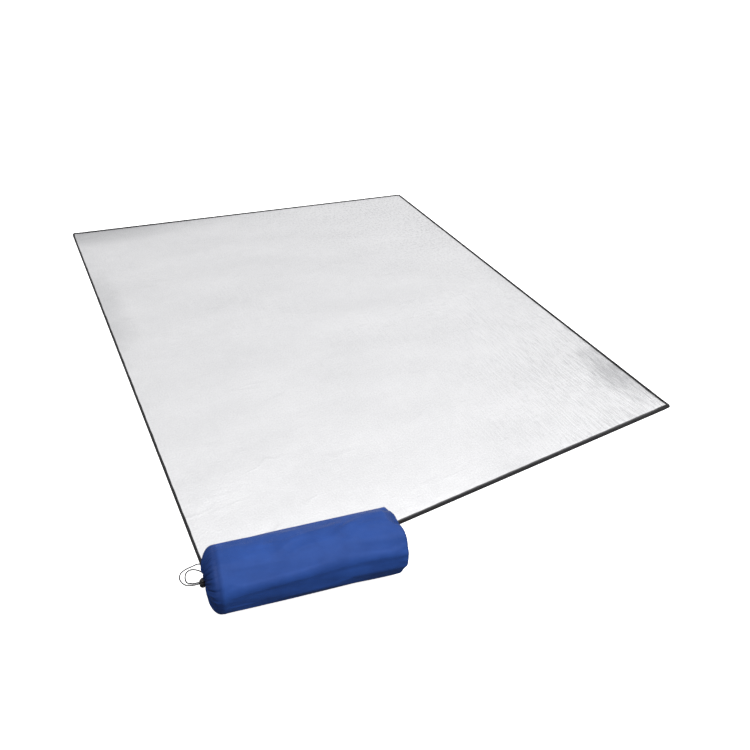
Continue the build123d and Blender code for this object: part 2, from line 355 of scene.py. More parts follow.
def make_tape():
    """Black woven tape with fine ribs across it, and a painted sheen on the front flap's inner
    edge.
    """
    tape = Shader(
        "binding_tape",
        Roughness=0.75,
        Sheen_Weight=0.08,
        Sheen_Roughness=0.45,
        Specular_IOR_Level=0.2,
    )
    flat = tape.coordinates("UV")
    ribs = tape.threads(flat, "X", 420.0, 0.6, 1.0)
    threads = tape.threads(flat, "Y", 300.0, 0.4, 1.0)
    weave = tape.times(ribs, threads)
    normal = tape.bump(tape.noise(flat, 90.0, 2.0), 0.0004, 0.5)
    tape.feed("Normal", tape.bump(weave, 0.0003, 0.9, normal))
    fade = tape.remap(tape.noise(flat, 40.0, 4.0), 0.3, 0.7, 0.0, 1.0)
    # painted sheen: the front edge's flap is paler towards its inner edge, a highlight painted into
    # the colour
    parts = tape.add("ShaderNodeSeparateXYZ", {"Vector": flat})
    painted_sheen = tape.remap(parts.outputs["Y"], 0.0, 0.0038, 1.0, 0.0)
    for low, high, new_low, new_high in ((0.0, 0.03, 0.0, 1.0), (1.70, 1.76, 1.0, 0.0)):
        part_of_way = tape.remap(parts.outputs["X"], low, high, new_low, new_high)
        painted_sheen = tape.times(painted_sheen, part_of_way)
    tone = tape.plus(tape.times(fade, 0.06), tape.times(painted_sheen, 0.8))
    tape.paint(tone, BLACK_TAPE, SHEEN_PAINTED_TAPE)
    return tape.material


def make_thread():
    thread = Shader("stitch_thread", Roughness=0.5, Sheen_Weight=0.3)
    place = thread.coordinates("Object")
    twist = thread.noise(place, 2500.0, 1.0)
    thread.feed("Normal", thread.bump(twist, 0.0001, 0.5))
    thread.paint(twist, (0.03, 0.03, 0.033), (0.07, 0.07, 0.075))
    return thread.material


def make_nylon():
    """Royal blue coated nylon: a plain fine weave, small creases, soft crumples, and painted shade
    in the gathers and at the base's seam.
    """
    nylon = Shader("bag_nylon", Specular_IOR_Level=0.16)
    flat = nylon.coordinates("UV")
    warp = nylon.threads(flat, "X", 520.0, 0.3)
    weft = nylon.threads(flat, "Y", 520.0, 0.3)
    weave = nylon.plus(warp, weft)
    crumple = nylon.noise(flat, 26.0, 4.0, 0.55, 0.4)
    soft = nylon.noise(nylon.coordinates("UV", (0.5, 1.4, 1.0)), 14.0, 3.0, 0.5, 0.3)
    normal = nylon.bump(soft, 0.0040, 0.55)
    normal = nylon.bump(crumple, 0.0012, 0.6, normal)
    normal = nylon.bump(weave, 0.00012, 0.6, normal)
    nylon.feed("Normal", normal)
    shade = nylon.remap(nylon.noise(flat, 12.0, 5.0, 0.6), 0.3, 0.7, 0.48, 1.0)
    # painted shade: the cloth is darker where it is gathered and where it turns in at the base's
    # seam
    way = nylon.add("ShaderNodeSeparateXYZ", {"Vector": flat}).outputs["X"]
    painted_gather_shade = nylon.remap(way, GATHERED_TO - 0.012, GATHERED_TO, 0.62, 0.0)
    painted_seam_shade = nylon.remap(way, TURNED_FROM, TURNED_FROM + 0.008, 0.0, 0.5)
    shade = nylon.minus(nylon.minus(shade, painted_gather_shade), painted_seam_shade)
    nylon.paint(shade, DARK_NYLON, BRIGHT_NYLON)
    nylon.feed("Roughness", nylon.remap(crumple, 0.3, 0.7, 0.42, 0.54))
    return nylon.material


def make_braid():
    """Black braided cord: two sets of strands that cross along it."""
    braid = Shader("drawcord", Roughness=0.7, Specular_IOR_Level=0.2)
    flat = braid.coordinates("UV")
    parts = braid.add("ShaderNodeSeparateXYZ", {"Vector": flat})
    along = braid.times(parts.outputs["X"], 110.0 * math.tau)
    around = braid.times(parts.outputs["Y"], 4.0 * math.tau)
    right = braid.math("SINE", braid.plus(along, around))
    left = braid.math("SINE", braid.minus(along, around))
    strands = braid.math("MAXIMUM", right, left)
    braid.feed("Normal", braid.bump(strands, 0.0003, 0.8))
    tone = braid.remap(strands, -0.2, 1.0, 0.0, 1.0)
    braid.paint(tone, (0.003, 0.003, 0.0035), (0.010, 0.010, 0.011))
    return braid.material


def make_plastic():
    plastic = Shader("lock_plastic", Roughness=0.42)
    place = plastic.coordinates("Object")
    pebble = plastic.noise(place, 1400.0, 3.0, 0.6)
    plastic.feed("Normal", plastic.bump(pebble, 0.0002, 0.4))
    worn = plastic.remap(plastic.noise(place, 160.0, 3.0), 0.4, 0.7, 0.0, 1.0)
    plastic.paint(worn, (0.012, 0.012, 0.014), (0.024, 0.024, 0.027))
    return plastic.material


def make_steel():
    steel = Shader("spring_steel", Metallic=1.0, Base_Color=(0.55, 0.55, 0.57, 1.0))
    place = steel.coordinates("Object")
    drawn = steel.noise(place, 900.0, 3.0)
    steel.feed("Roughness", steel.remap(drawn, 0.3, 0.7, 0.22, 0.38))
    steel.feed("Normal", steel.bump(drawn, 0.00005, 0.4))
    return steel.material


def make_inner_foil():
    """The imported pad's foil, inside the bag."""
    foil = Shader("packed_foil", Metallic=1.0)
    place = foil.coordinates("Object")
    crinkle = foil.noise(place, 70.0, 5.0, 0.6)
    foil.feed("Normal", foil.bump(crinkle, 0.001, 0.7))
    foil.paint(crinkle, (0.82, 0.825, 0.84), (0.95, 0.95, 0.955))
    foil.feed("Roughness", foil.remap(crinkle, 0.3, 0.7, 0.34, 0.46))
    return foil.material


foil_face = make_foil()
foam_sheet = make_foam("UV")
foam_packed = make_foam("Object")
tape_cloth = make_tape()
thread = make_thread()
nylon = make_nylon()
braid = make_braid()
plastic = make_plastic()
steel = make_steel()
inner_foil = make_inner_foil()


# ---- camera, light and floor ----
CAMERA_PLACE = Vector((-1.07638, -1.73512, 1.38293))
CAMERA_RIGHT = Vector((0.855832, -0.501619, 0.126214))
CAMERA_UP = Vector((0.243091, 0.605435, 0.757862))
CAMERA_LENS = 27.59
KEY_TOWARD = Vector((0.05, -0.32, 0.95))
KEY_STRENGTH, KEY_SPREAD = 2.0, math.radians(28.0)
FLOOR_REACH, FLOOR_LEVEL = 40.0, -0.0006


def make_camera():
    data = bpy.data.cameras.new("camera")
    data.lens = CAMERA_LENS
    data.sensor_width = 36.0
    camera = bpy.data.objects.new("camera", data)
    back = CAMERA_RIGHT.cross(CAMERA_UP)
    turn = Matrix((CAMERA_RIGHT, CAMERA_UP, back)).transposed()
    camera.matrix_world = Matrix.Translation(CAMERA_PLACE) @ turn.to_4x4()
    scene.collection.objects.link(camera)
    scene.camera = camera


def make_key():
    """A large soft light far off, in one direction from everything."""
    data = bpy.data.lights.new("key", "SUN")
    data.energy = KEY_STRENGTH
    data.angle = KEY_SPREAD
    light = bpy.data.objects.new("key", data)
    light.rotation_euler = KEY_TOWARD.to_track_quat("Z", "Y").to_euler()
    scene.collection.objects.link(light)


def make_sky():
    """A white studio: brighter overhead and to the right, darker low in front and underneath."""
    world = bpy.data.worlds.new("studio")
    scene.world = world
    world.use_nodes = True
    sky = Nodes(world.node_tree)
    place = sky.add("ShaderNodeTexCoord").outputs["Generated"]
    toward = sky.add("ShaderNodeSeparateXYZ", {"Vector": place}).outputs
    level = sky.plus(sky.times(toward["Z"], 0.47), sky.times(toward["X"], 0.20))
    level = sky.plus(level, 0.43)
    above = sky.math("MULTIPLY", sky.plus(toward["Z"], 0.03), 18.0, clamp=True)
    front = sky.times(toward["Y"], -1.2)
    front = sky.math("ADD", front, sky.times(toward["Z"], -0.6), clamp=True)
    level = sky.times(level, sky.minus(1.0, sky.times(front, 0.55)))
    level = sky.math("MAXIMUM", sky.times(level, above), 0.08)
    background = sky.tree.nodes["Background"]
    sky.tree.links.new(level, background.inputs["Strength"])
    background.inputs["Color"].default_value = (1.0, 1.0, 1.0, 1.0)


def make_floor():
    """A plain pale floor that glows a little, so that shadows on it are faint."""
    corners = ((-1, -1), (1, -1), (1, 1), (-1, 1))
    points = [(x * FLOOR_REACH, y * FLOOR_REACH, FLOOR_LEVEL) for x, y in corners]
    floor = make_object("floor", points, [(0, 1, 2, 3)], smooth=False)
    pale = Shader(
        "floor",
        Base_Color=(0.93, 0.93, 0.93, 1),
        Roughness=0.9,
        Specular_IOR_Level=0.0,
        Emission_Color=(1, 1, 1, 1),
        Emission_Strength=0.8,
    )
    floor.data.materials.append(pale.material)
    floor.visible_diffuse = False
    floor.visible_glossy = False


make_camera()
make_sky()
make_floor()
make_key()
scene.view_settings.view_transform = "Standard"


# ---- the pad's foam and foil ----
def wave(x, y):
    """How far the pad stands off the floor: long low bands across it, and puckers at the tape."""
    inset = np.minimum(half_width - np.abs(x), half_length - np.abs(y))
    bands = 0.50 * np.sin(math.tau * (y / 0.34 + 0.22 * np.sin(x * 3.1 + 0.6)) + 1.1)
    bands += 0.30 * np.sin(math.tau * (y / 0.21 + 0.16 * x + 0.15 * np.sin(x * 5.3)) + 2.3)
    bands += 0.20 * np.sin(math.tau * (x / 0.46 + 0.2 * np.sin(y * 4.2)) + 0.4)
    clear_of_bag = 1 - ease(x, -0.50, -0.62) * ease(y, -0.80, -0.90)
    rise = WAVE_HEIGHT * (0.55 + 0.45 * bands) * ease(inset, 0.010, 0.110)
    near_edge = ease(inset, 0.009, 0.023) * np.exp(-inset / 0.035)
    ripple = np.sin(x * 97 + 2.0 * np.sin(y * 9)) * np.sin(y * 83 + 1.7 * np.sin(x * 7))
    ripple += 0.6 * np.sin((x + y) * 61 + 1.3)
    return clear_of_bag * (rise + 0.0007 * near_edge * (1.0 + 0.6 * ripple))


def panel_middle(number):
    return (cuts[number - 1] + cuts[number]) / 2


def slab_lines(low, high, spacing):
    count = max(2, math.ceil((high - low) / spacing))
    return list(np.linspace(low, high, count + 1))


def across_lines():
    """The X of the grid's lines. Two close ones on each side make the step for the lower flap."""
    end = half_width - UNDER_TAPE
    step = half_width - TAPE_REACH
    inner = half_width - EDGE_BAND
    lines = [-end, -step, -step + STEP_WIDTH]
    lines += slab_lines(-step + STEP_CLEAR, -inner, EDGE_GRID)
    lines += slab_lines(-inner, inner, GRID)[1:]
    lines += slab_lines(inner, step - STEP_CLEAR, EDGE_GRID)[1:]
    return np.array(lines + [step - STEP_WIDTH, step, end])


def along_lines(number):
    """The Y of the grid's lines of the piece over a joint."""
    front = cuts[0] + UNDER_TAPE if number == 1 else panel_middle(number)
    back = cuts[-1] - UNDER_TAPE if number == PANELS - 1 else panel_middle(number + 1)
    lines = []
    if number == 1:
        step = cuts[0] + TAPE_REACH
        lines = [front, step, step + STEP_WIDTH]
        lines += slab_lines(step + STEP_CLEAR, cuts[0] + EDGE_BAND, EDGE_GRID)[:-1]
        front = cuts[0] + EDGE_BAND
    tail = []
    if number == PANELS - 1:
        step = cuts[-1] - TAPE_REACH
        edge = max(front + GRID, cuts[-1] - EDGE_BAND)
        tail = slab_lines(edge, step - STEP_CLEAR, EDGE_GRID)[1:] + [step - STEP_WIDTH, step, back]
        back = edge
    return np.array(lines + slab_lines(front, back, GRID) + tail)


def make_slab(name, xs, ys, top, bottom):
    """A closed slab on a grid. top and bottom are heights at each grid point."""
    columns, rows = len(xs), len(ys)
    x, y = np.meshgrid(xs, ys)
    layers = [np.stack([x, y, z], axis=2).reshape(-1, 3) for z in (top, bottom)]
    points = np.concatenate(layers)
    flat = np.concatenate([np.stack([x, y], axis=2).reshape(-1, 2)] * 2)
    under = columns * rows
    faces = []
    for row in range(rows - 1):
        for column in range(columns - 1):
            a = row * columns + column
            b = a + columns
            faces.append((a, a + 1, b + 1, b))
            faces.append((under + a, under + b, under + b + 1, under + a + 1))
    rim = [(0, c) for c in range(columns - 1)]
    rim += [(r, columns - 1) for r in range(rows - 1)]
    rim += [(rows - 1, c) for c in range(columns - 1, 0, -1)]
    rim += [(r, 0) for r in range(rows - 1, 0, -1)]
    ids = [r * columns + c for r, c in rim]
    for a, b in zip(ids, ids[1:] + ids[:1]):
        faces.append((a, under + a, under + b, b))
    return make_object(name, points, faces, flat)


def join_bodies(thing):
    """The piece over a joint has its placement baked into its points."""
    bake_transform(thing)


def stood_for(layer, number):
    """The CAD pieces that the piece over a joint stands for."""
    names = [f"{layer}_panel_{number:02d}"]
    if number == PANELS - 1:
        names.append(f"{layer}_panel_{PANELS:02d}")
    return names


xs = across_lines()
for number in range(1, PANELS):
    ys = along_lines(number)
    x, y = np.meshgrid(xs, ys)
    lift = wave(x, y)
    inset = np.minimum(half_width - np.abs(x), half_length - np.abs(y))
    rebate = np.where(inset < TAPE_REACH + STEP_WIDTH / 2, LOWER_FLAP + 0.0001, 0.0)
    foam = make_slab(f"foam_bend_{number:02d}", xs, ys, FOAM_TOP - GLUE_GAP + lift, lift + rebate)
    foil = make_slab(f"foil_bend_{number:02d}", xs, ys, FOIL_TOP + lift, FOAM_TOP + lift)
    for thing, layer, material in ((foam, "foam", foam_sheet), (foil, "foil", foil_face)):
        sharpen(thing, 30)
        finish_piece(thing, layer, material)
        join_bodies(thing)
        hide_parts(*stood_for(layer, number))


# ---- the binding tape ----
STITCH_INSET = 0.0058
STITCH_PITCH = 0.0042
STITCH_LENGTH = 0.0030
STITCH_RADIUS = 0.00028
STITCH_LEVEL = 0.00372  # the section's, where the stitches sit
TAPE_STEP = 0.010
TAPE_WIDTH = 0.008  # the section's below
TAPE_BLEND = 0.030  # along each side, from a corner
CREST_RISE = 1.47  # of the upper flap above the foil, away from the bag
BAG_ON_FRONT, BAG_ON_LEFT = 0.45, 0.25  # from the front left corner, where the bag lies

# How wide the upper flap shows and how far the tape bulges out: front, right, back and left.
TAPE_SHAPES = ((0.0110, 0.0062), (0.0145, 0.0040), (0.0110, 0.0020), (0.0078, 0.0040))
FRONT_WIDENS = 0.0075  # from the left end of the front to its right end

# The folded tape's section, clockwise from its upper flap's inner edge: (distance in, height).
TAPE_SECTION = [
    (0.0080, 0.00335), (0.0072, 0.00375), (0.0063, 0.00372), (0.0058, 0.00362),
    (0.0053, 0.00380), (0.0042, 0.00425), (0.0030, 0.00440), (0.0018, 0.00425),
    (0.0008, 0.00370), (0.0002, 0.00300), (0.0000, 0.00220), (0.0002, 0.00120),
    (0.0008, 0.00040), (0.0018, 0.00005), (0.0045, 0.00002), (0.0080, 0.00002),
    (0.0080, 0.00065), (0.0045, 0.00068), (0.0012, 0.00080), (0.0012, 0.00265),
    (0.0045, 0.00275), (0.0080, 0.00275),
]
UPPER_PLACES = (*range(10), 20, 21)


def side_at(way):
    """The side that way is on, how far along it, its straight length, and how far round its arc."""
    way %= outline_length()
    for side in range(4):
        straight = 2 * (half_width, half_length)[side % 2] - 2 * PAD_CORNER
        if way <= straight:
            return side, way, straight, 0.0
        way -= straight
        if way <= CORNER_ARC:
            return side, straight, straight, way
        way -= CORNER_ARC
    return 0, 0.0, 1.0, 0.0


def tape_shape(way):
    """The upper flap's width, the bulge, and the crest's rise, at a distance round the outline."""
    side, along, straight, round_arc = side_at(way)
    own = TAPE_SHAPES[side]
    before, after = TAPE_SHAPES[side - 1], TAPE_SHAPES[(side + 1) % 4]
    toward_before = 0.5 * (1 - ease(along, 0, TAPE_BLEND))
    toward_after = 0.5 * (1 - ease(straight - along, 0, TAPE_BLEND))
    if round_arc:
        toward_before, toward_after = 0.0, 0.5
    width, bulge = (
        own[i] * (1 - toward_before - toward_after)
        + before[i] * toward_before
        + after[i] * toward_after
        for i in (0, 1)
    )
    way %= outline_length()
    if side == 0 and not round_arc:
        width += FRONT_WIDENS * along / straight * (1 - toward_before - toward_after)
    past_bag = ease(way, BAG_ON_FRONT, BAG_ON_FRONT + 0.06)
    before_bag = ease(outline_length() - way, BAG_ON_LEFT, BAG_ON_LEFT + 0.06)
    return width, bulge, 1 + (CREST_RISE - 1) * min(past_bag, before_bag)


def edge_point(way, inset, height):
    """A point of the binding: way is the distance round the outline from the front left corner."""
    side, along, _, round_arc = side_at(way)
    x0, y0 = ((-1, -1), (1, -1), (1, 1), (-1, 1))[side]
    x0, y0 = x0 * half_width, y0 * half_length
    dx, dy = ((1, 0), (0, 1), (-1, 0), (0, -1))[side]
    reach = PAD_CORNER + along
    if not round_arc:
        return (x0 + dx * reach - dy * inset, y0 + dy * reach + dx * inset, height)
    centre = (x0 + dx * reach - dy * PAD_CORNER, y0 + dy * reach + dx * PAD_CORNER)
    turn = round_arc / PAD_CORNER
    out = (dy * math.cos(turn) + dx * math.sin(turn), -dx * math.cos(turn) + dy * math.sin(turn))
    reach = PAD_CORNER - inset
    return (centre[0] + out[0] * reach, centre[1] + out[1] * reach, height)


def outline_length():
    return 4 * (half_width + half_length) - 8 * PAD_CORNER + 2 * math.pi * PAD_CORNER


def way_of(x_side, y):
    """The distance round the outline of the point on the left (-1) or right (1) side at this Y."""
    front = 2 * half_width - 2 * PAD_CORNER
    along = y + half_length - PAD_CORNER
    if x_side > 0:
        return front + CORNER_ARC + along
    return outline_length() - CORNER_ARC - along


def tape_ways(start, end):
    """Distances round the outline between two, close together round the corners."""
    length = outline_length()
    fine = []
    at = 0.0
    for side in (half_width, half_length, half_width, half_length):
        straight = 2 * side - 2 * PAD_CORNER
        fine += list(np.linspace(at, at + straight, math.ceil(straight / TAPE_STEP) + 1))
        at += straight
        fine += list(np.linspace(at, at + CORNER_ARC, 9))[1:-1]
        at += CORNER_ARC
    fine = np.array(fine)
    fine = np.concatenate([fine - length, fine, fine + length])
    inside = fine[(fine > start + 0.001) & (fine < end - 0.001)]
    return [start, *inside, end]


def ripple_at(way):
    """How the sewn tape's height and width wander along it."""
    high = 0.00012 * math.sin(way * 71) + 0.00010 * math.sin(way * 113 + 1.0)
    wide = 0.00035 * math.sin(way * 47 + 0.5) + 0.00025 * math.sin(way * 131)
    return high, wide


def make_tape_run(start, end):
    """One closed run of folded tape, as points, faces and flat coordinates."""
    points, flat = [], []
    ways = tape_ways(start, end)
    girth = [0.0]
    for (a, b), (c, d) in zip(TAPE_SECTION, TAPE_SECTION[1:]):
        girth.append(girth[-1] + math.hypot(c - a, d - b))
    for way in ways:
        high, wide = ripple_at(way)
        width, bulge, crest = tape_shape(way)
        for place, (inset, height) in enumerate(TAPE_SECTION):
            if place in UPPER_PLACES:
                shift = wide if inset == TAPE_WIDTH else 0.0
                inset = inset * width / TAPE_WIDTH - bulge + shift
            else:
                inset -= bulge * (1 - inset / TAPE_WIDTH)
            if 1 <= place <= 9:
                height = FOIL_TOP + (height - FOIL_TOP) * crest + high
            points.append(edge_point(way, inset, height))
            flat.append((way, girth[place]))
    faces = ring_faces(len(ways), len(TAPE_SECTION), flip=True, caps=True)
    return points, faces, flat


def make_stitches(start, end):
    """Short raised stitches along the upper flap."""
    points, faces, flat = [], [], []
    profile = ((-0.5, 0.15), (-0.38, 0.8), (0.0, 1.0), (0.38, 0.8), (0.5, 0.15))
    sides = 6
    first = math.ceil(start / STITCH_PITCH)
    for number in range(first, math.floor(end / STITCH_PITCH)):
        middle = (number + 0.5) * STITCH_PITCH
        if middle + STITCH_LENGTH / 2 > end or middle - STITCH_LENGTH / 2 < start:
            continue
        base = len(points)
        for share, swell in profile:
            way = middle + share * STITCH_LENGTH
            width, bulge, crest = tape_shape(way)
            line = STITCH_INSET * width / TAPE_WIDTH - bulge
            level = FOIL_TOP + (STITCH_LEVEL - FOIL_TOP) * crest + ripple_at(way)[0]
            for side in range(sides):
                angle = math.tau * side / sides
                inset = line + STITCH_RADIUS * swell * math.cos(angle)
                height = level + STITCH_RADIUS * swell * math.sin(angle)
                points.append(edge_point(way, inset, height))
                flat.append((way, inset))
        faces += ring_faces(len(profile), sides, base, caps=True)
    return points, faces, flat


def make_binding(number):
    """The tape over a joint: a run on each side, or one run round an end of the pad."""
    front = panel_middle(number)
    back = panel_middle(number + 1)
    total = outline_length()
    if number == 1:
        runs = [(way_of(-1, back) - total, way_of(1, back))]
    elif number == PANELS - 1:
        runs = [(way_of(1, front), way_of(-1, front))]
    else:
        runs = [(way_of(1, front), way_of(1, back)), (way_of(-1, back), way_of(-1, front))]
    points, faces, flat, kinds = [], [], [], []
    for start, end in runs:
        for kind, maker in enumerate((make_tape_run, make_stitches)):
            more_points, more_faces, more_flat = maker(start, end)
            base = len(points)
            points += more_points
            flat += more_flat
            faces += [tuple(base + corner for corner in face) for face in more_faces]
            kinds += [kind] * len(more_faces)
    tape = make_object(f"binding_bend_{number:02d}", points, faces, flat)
    finish_piece(tape, "binding_tape", tape_cloth, thread)
    tape.data.polygons.foreach_set("material_index", kinds)
    sharpen(tape, 50)
    join_bodies(tape)
    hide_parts(*stood_for("binding", number))


for number in range(1, PANELS):
    make_binding(number)


# ---- the drawcord's free strands ----
def near_mouth(out, side, height):
    """A point in millimetres: out of the mouth, towards the back edge, and above the floor."""
    point = MOUTH + bag_out * (out / 1000) + bag_side * (side / 1000)
    return Vector((point.x, point.y, height / 1000))


def strand_route(side, middle, end):
    """Out of the mouth through the lock, on through points in millimetres, and back to the hem."""
    start = [near_mouth(out, side, 88) for out in (-3, 24, 34)]
    return start + [Vector(point) / 1000 for point in middle] + [near_mouth(*end)]


OUTER_MIDDLE = (
    (-952, -973, 76), (-957, -953, 47), (-960, -928, 18),
    (-962.5, -904, 2.6), (-956.5, -889, 1.6), (-942, -883, 1.6),
    (-924, -883, 3), (-908, -889, 15), (-902, -920, 45),
    (-907, -953, 70),
)
INNER_MIDDLE = (
    (-947.5, -969, 74), (-950.5, -950, 46), (-951, -928, 18),
    (-949, -906, 2.6), (-942.5, -892, 1.6), (-929, -890, 3.5),
    (-918, -910, 23), (-911, -936, 47), (-910, -961, 70),
)
OUTER_ROUTE = strand_route(-1.95, OUTER_MIDDLE, (2.4, 8.5, 93))
INNER_ROUTE = strand_route(1.95, INNER_MIDDLE, (2.4, 9, 84))


def make_strand(name, route):
    data = bpy.data.curves.new(name, "CURVE")
    data.dimensions = "3D"
    data.bevel_depth = CORD / 2
    data.bevel_resolution = 5
    data.resolution_u = 24
    data.use_fill_caps = True
    spline = data.splines.new("NURBS")
    spline.points.add(len(route) - 1)
    for point, place in zip(spline.points, route):
        point.co = (*place, 1)
    spline.order_u = 3
    spline.use_endpoint_u = True
    strand = bpy.data.objects.new(name, data)
    scene.collection.objects.link(strand)
    finish_piece(strand, "drawcord", braid)
    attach(strand, "carry_bag")
    return strand


outer_strand = make_strand("outer_strand", OUTER_ROUTE)
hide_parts("drawcord_outer_loop")
inner_strand = make_strand("inner_strand", INNER_ROUTE)
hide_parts("drawcord_inner_loop")


# ---- the bag ----
AROUND = 320
PLEATS = 27
FOLD_AT = 0.0285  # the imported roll's end shows through here
ROLL_START, ROLL_END = 0.026, 0.4775
ROLL_SLACK = 0.0045  # the roll's last half turn is the lower one, so there is more room above it
ROLL_CLEAR = 0.0010  # between the roll and the cloth
SEAM_RADIUS = 0.0705  # of the base panel
BASE_CROWN = 0.0026
MOUTH_EDGE = 0.0128
BAG_START, BAG_END = 0.0802, 0.0840  # the filled tube is a little wider at the base
TOP_SEEN = 33  # degrees round the bag, where its upper outline is seen
HEM_CUT, HEM_GIRTH = 0.025, 0.056  # the hem's flat size
HEM_ALONG, HEM_OUT, HEM_RADIUS, HEM_RIDGES = 0.001, 0.009, 0.0034, 0.0007
CLEAR_OF_TAPE, CLEAR_OF_FLOOR = 0.0005, 0.0004

CLOTH_FRAMES = 20
CLOTH_LOOSE = 0.0016  # how much larger the cloth is cut than the form
CLOTH_CAP = 0.0008  # no point moves further than this
CLOTH_SETTINGS = {
    "quality": 5,
    "mass": 0.15,
    "tension_stiffness": 20,
    "compression_stiffness": 20,
    "shear_stiffness": 8,
    "bending_stiffness": 0.4,
    "air_damping": 2.0,
    "use_pressure": True,
    "uniform_pressure_force": 4.0,
    "shrink_min": -CLOTH_LOOSE,
    "vertex_group_mass": "sewn",
}


def pleat(angle, turn=0.0):
    """Round ridges with sharp valleys between them, none of them the same, from -1 to 1."""
    drift = 0.9 * np.sin(3 * angle + 0.7) + 0.6 * np.sin(5 * angle + 2.1) + 0.3 * np.sin(11 * angle)
    ridge = np.abs(np.sin((PLEATS * angle + drift + turn) / 2)) ** 0.75
    size = 0.72 + 0.28 * np.sin(7 * angle + 1.9)
    return size * (2 * ridge - 1)


def base_seam(degrees):
    """Round the bag: how far along the base's seam is, and the turn's length and sharpness."""
    cut = ease(degrees, 8, 26) * (1 - ease(degrees, 84, 112))  # drawn in at the back, near the top
    pulled = ease(degrees, 32, 50) * (1 - ease(degrees, 80, 108))
    low = ease(degrees, 176, 192) * (1 - ease(degrees, 235, 262))  # and low in front
    full = ease(degrees, 112, 132) * (1 - ease(degrees, 172, 190))  # pushed out at the front
    along = BAG_LENGTH - 0.0071 * cut + 0.0022 * full - 0.0005 * low
    length = 0.0100 + 0.0200 * pulled + 0.0030 * low
    power = 2.0 - cut - 0.40 * low + 0.4 * full
    return along, length, power


def mouth_end(degrees):
    """Round the bag: where the drawn-in face stands, its level part, its rounding, and how held."""
    # the cloth bulges most near the top, and is held back where the drawcord comes out
    held = bump((degrees - 325 + 180) % 360 - 180, 0, 34)
    upper = np.cos(np.radians(degrees - TOP_SEEN))
    stand = -0.0058 - 0.0033 * upper + 0.0105 * held
    return stand, 0.0240 + 0.0040 * upper, 0.0280 + 0.0020 * upper - 0.0065 * held, held


def bag_lines():
    """The tube's rings from the mouth to the base: along and out, for each angle round it."""
    angles = np.arange(AROUND) * math.tau / AROUND
    degrees = np.degrees(angles)
    seam, length, power = base_seam(degrees)
    face, level, curve = mouth_end(degrees)[:3]
    rings = []
    for share in np.linspace(0, 1, 9):
        out = MOUTH_EDGE + (level - MOUTH_EDGE) * share
        rings.append((0.0015 * (1 - share) + face * ease(share, 0, 1), out))
    for turn in np.linspace(0, math.pi / 2, 34)[1:]:
        out = level + (BAG_START - level) * math.sin(turn)
        rings.append((face + curve * (1 - math.cos(turn)), out))
    start = face + curve
    for share in np.linspace(0, 1, 84)[1:]:
        along = start + (seam - length - start) * share
        rings.append((along, BAG_START + (BAG_END - BAG_START) * share))
    for turn in np.linspace(0, math.pi / 2, 16)[1:]:
        along = seam - length + length * math.sin(turn) ** (2 / power)
        out = SEAM_RADIUS + (BAG_END - SEAM_RADIUS) * abs(math.cos(turn)) ** (2 / power)
        rings.append((along, out))
    return angles, np.array([(along, out + 0 * angles) for along, out in rings])


def bag_folds(along, out, angles):
    """How far the cloth stands off its plain form: gathers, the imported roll's edge and folds."""
    degrees = np.degrees(angles)
    share = np.clip(along / BAG_LENGTH, 0, 1)
    face = 0.45 + 0.55 * ease(out, 0.016, 0.030) - 0.45 * ease(out, 0.045, 0.075)
    gather = np.exp(-np.maximum(0.0, along - 0.006) / 0.011) * face
    gather = gather * (1 - 0.75 * mouth_end(degrees)[3])
    stand = 0.0034 * gather * pleat(angles, along * 30)
    stand += 0.0007 * gather * np.sin(61 * angles + 3 * np.sin(4 * angles) + out * 90)
    round_it = np.minimum(1.0, out / BAG_RADIUS)
    stand += 0.0006 * np.sin(3 * angles + along * 5 + 0.4) * round_it
    stand += 0.0005 * np.sin(7 * angles + along * 11 + 1.3)
    stand += 0.0004 * np.sin(12 * angles - along * 23)
    # the roll's end shows as a step, with the loose cloth sunk in front of it
    seen = ease(degrees, 45, 75) * (1 - ease(degrees, 185, 215))
    stand += -0.0026 * bump(along, FOLD_AT - 0.0085, 0.0060) * (0.15 + 0.85 * seen)
    stand += 0.0018 * bump(along, FOLD_AT, 0.0045) * seen
    # a long soft ridge along the front, and a fold near the top that dies out
    body = ease(along, 0.03, 0.07) * (1 - ease(along, BAG_LENGTH - 0.03, BAG_LENGTH))
    stand += 0.0028 * body * bump(degrees, 147 - 5 * share + 2 * np.sin(along * 17), 12)
    dying = 1 - ease(along, 0.12, 0.30)
    stand -= 0.0017 * body * dying * bump(degrees, 88 + 3 * np.sin(along * 40), 6.5)
    near_top = body * bump(degrees, 80, 26)
    stand += 0.0006 * near_top * np.sin(degrees / 4.2 + 60 * along + 2 * np.sin(along * 37))
    stand += 0.0030 * ease(along, 0.20, 0.40) * bump(degrees, 30, 26)
    # the rim's seam puckers the cloth
    rim = 0.0004 * bump(along, BAG_LENGTH - 0.012, 0.010)
    return stand + rim * np.sin(23 * angles + 2.0 * np.sin(2 * angles))


def bag_surface():
    """Points of the tube's cloth, ring by ring, and how far each is along the cloth."""
    angles, rings = bag_lines()
    line = rings[:, :, 0]
    cloth = np.concatenate([[0], np.cumsum(np.hypot(*np.diff(line, axis=0).T))])
    tangent = np.gradient(rings, axis=0)
    tangent /= np.linalg.norm(tangent, axis=1)[:, None, :]
    stand = bag_folds(rings[:, 0], rings[:, 1], angles[None, :])
    along = rings[:, 0] - tangent[:, 1] * stand
    out = rings[:, 1] + tangent[:, 0] * stand
    points = np.stack([along, out, np.broadcast_to(angles, along.shape)], axis=2)
    return clear_roll(points), cloth


def clear_roll(rings):
    """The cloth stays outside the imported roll."""
    along, out, angles = rings[..., 0], rings[..., 1], rings[..., 2]
    over_roll = (along > ROLL_START) & (along < ROLL_END)
    room = np.where(angles > math.pi, ROLL_RADIUS, ROLL_RADIUS - ROLL_SLACK) + ROLL_CLEAR
    rings = rings.copy()
    rings[..., 1] = np.where(over_roll, np.maximum(out, room), out)
    return rings


